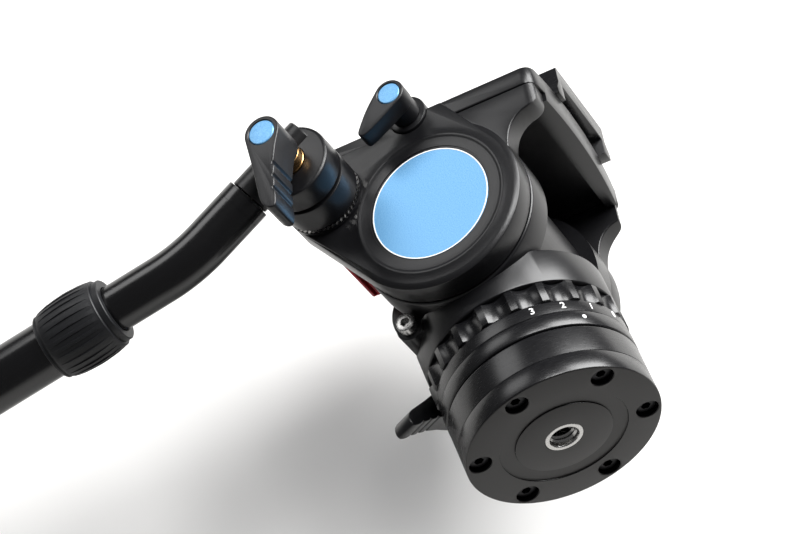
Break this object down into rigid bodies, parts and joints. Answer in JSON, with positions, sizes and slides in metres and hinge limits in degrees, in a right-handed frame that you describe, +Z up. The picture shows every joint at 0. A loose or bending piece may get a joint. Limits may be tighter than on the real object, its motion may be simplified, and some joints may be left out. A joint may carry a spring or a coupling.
{
  "type": "fluid video head",
  "caption": "Tripod fluid head with a tilting cradle, sliding camera plate, lever locks, pan drag ring and an offset telescopic pan handle.",
  "frame": {"origin": "centre of the base's underside, at the mouth of the tripod thread, which is also on the pan axis", "axes": "+Z up along the pan axis, +Y forward, the way the camera looks, +X to the operator's right; the tilt axis runs along X; the cradle is stored dipped 10.4 degrees forward and the handle points to -Y"},
  "size_m": [0.1532, 0.3775, 0.1347],
  "materials": {
    "anodised": "satin black anodised",
    "moulded": "fine texture",
    "rubber": "matte",
    "steel": "polished",
    "black_steel": "black oxide",
    "brass": "turned",
    "blue": "brushed under a clear blue coat",
    "red": "satin",
    "glass": "clear"
  },
  "bodies": {
    "base": {"base_plate": "anodised", "thread_insert": "steel", "plate_screw_1": "black_steel", "plate_screw_2": "black_steel", "plate_screw_3": "black_steel", "plate_screw_4": "black_steel", "plate_screw_5": "black_steel", "plate_screw_6": "black_steel", "base_housing": "anodised", "index_ring": "anodised", "pan_spindle": "steel", "pan_stator": "black_steel", "pan_brake_drum": "steel"},
    "drag_ring": {"pan_drag_ring": "anodised"},
    "pan": {"pan_body": "anodised", "pan_rotor": "black_steel", "lug_screw": "steel", "tilt_bearing_right": "steel", "tilt_bearing_left": "steel", "tilt_damper": "anodised", "counterbalance_spring": "black_steel", "pan_brake_shoe": "black_steel"},
    "pan_lock": {"pan_lock_lever": "moulded", "pan_lock_cap": "blue"},
    "tilt": {"platform": "anodised", "right_arm": "anodised", "left_arm": "anodised", "tilt_shaft": "steel", "right_label": "blue", "rosette_right": "black_steel", "rosette_left": "black_steel", "clamp_stud": "brass", "level_housing": "moulded", "level_vial": "glass"},
    "plate_lock": {"plate_lock_lever": "moulded", "plate_lock_cap": "blue"},
    "jaw": {"clamp_jaw": "anodised"},
    "plate": {"quick_release_plate": "anodised", "plate_pad_right": "rubber", "plate_pad_left": "rubber"},
    "camera_screw": {"camera_screw": "steel"},
    "index_pin": {"index_pin": "steel"},
    "release": {"release_button": "red"},
    "tilt_drag": {"tilt_drag_dial": "anodised", "left_label": "blue"},
    "tilt_lock": {"tilt_lock_lever": "moulded", "tilt_lock_cap": "blue"},
    "handle_clamp_lever": {"handle_clamp_lever": "moulded", "handle_clamp_cap": "blue"},
    "handle": {"handle_rosette": "anodised", "handle_clamp": "anodised", "handle_inner_tube": "anodised", "handle_set_screw": "steel"},
    "outer_tube": {"handle_outer_tube": "anodised", "handle_grip": "rubber", "handle_end_cap": "moulded"},
    "collar": {"handle_collar": "rubber"}
  },
  "joints": [
    {"name": "pan_turn", "type": "hinge", "parent": "base", "child": "pan", "pos_m": [0, 0, 0.044], "axis": [0, 0, 1], "continuous": true},
    {"name": "pan_drag_turn", "type": "hinge", "parent": "base", "child": "drag_ring", "pos_m": [0, 0, 0.03], "axis": [0, 0, 1], "range_deg": [-27, 28]},
    {"name": "pan_lock_turn", "type": "hinge", "parent": "pan", "child": "pan_lock", "pos_m": [-0.01423, -0.03523, 0.0444], "axis": [-0.3746, -0.9272, 0], "range_deg": [-20, 20]},
    {"name": "tilt_turn", "type": "hinge", "parent": "pan", "child": "tilt", "pos_m": [0, 0, 0.0759], "axis": [1, 0, 0], "range_deg": [-60, 60]},
    {"name": "plate_lock_turn", "type": "hinge", "parent": "tilt", "child": "plate_lock", "pos_m": [0.052, 0.00513, 0.1138], "axis": [1, 0, 0], "range_deg": [0, 60.01]},
    {"name": "jaw_slide", "type": "slide", "parent": "tilt", "child": "jaw", "axis": [1, 0, 0], "range_m": [0, 0.0015]},
    {"name": "plate_slide", "type": "slide", "parent": "tilt", "child": "plate", "axis": [0, 0.9836, -0.1805], "range_m": [-0.006, 0.006]},
    {"name": "camera_screw_turn", "type": "hinge", "parent": "plate", "child": "camera_screw", "pos_m": [0, 0.01457, 0.12203], "axis": [0, 0.1805, 0.9836], "continuous": true},
    {"name": "index_pin_slide", "type": "slide", "parent": "plate", "child": "index_pin", "axis": [0, -0.1805, -0.9836], "range_m": [0, 0.0034], "stiffness_N_per_m": 150},
    {"name": "release_slide", "type": "slide", "parent": "tilt", "child": "release", "axis": [0, 0.9836, -0.1805], "range_m": [0, 0.002], "stiffness_N_per_m": 400},
    {"name": "tilt_drag_turn", "type": "hinge", "parent": "tilt", "child": "tilt_drag", "pos_m": [-0.048, 0, 0.0759], "axis": [1, 0, 0], "range_deg": [-90, 90]},
    {"name": "tilt_lock_turn", "type": "hinge", "parent": "tilt", "child": "tilt_lock", "pos_m": [-0.058, -0.02304, 0.06945], "axis": [1, 0, 0], "range_deg": [-40, 40]},
    {"name": "handle_clamp_turn", "type": "hinge", "parent": "tilt", "child": "handle_clamp_lever", "pos_m": [0.08, -0.03218, 0.10112], "axis": [1, 0, 0], "range_deg": [-40, 40]},
    {"name": "handle_turn", "type": "hinge", "parent": "tilt", "child": "handle", "pos_m": [0.058, -0.03218, 0.10112], "axis": [1, 0, 0], "range_deg": [-70, 75]},
    {"name": "handle_reach", "type": "slide", "parent": "handle", "child": "outer_tube", "axis": [0, -1, 0], "range_m": [0, 0.06]},
    {"name": "collar_turn", "type": "hinge", "parent": "outer_tube", "child": "collar", "pos_m": [0.064, -0.12018, 0.09083], "axis": [0, -1, 0], "range_deg": [-45, 45]}
  ],
  "couplings": [
    {"joint": "plate_lock_turn", "follows": "jaw_slide", "rad_per_m": 698.13}
  ]
}
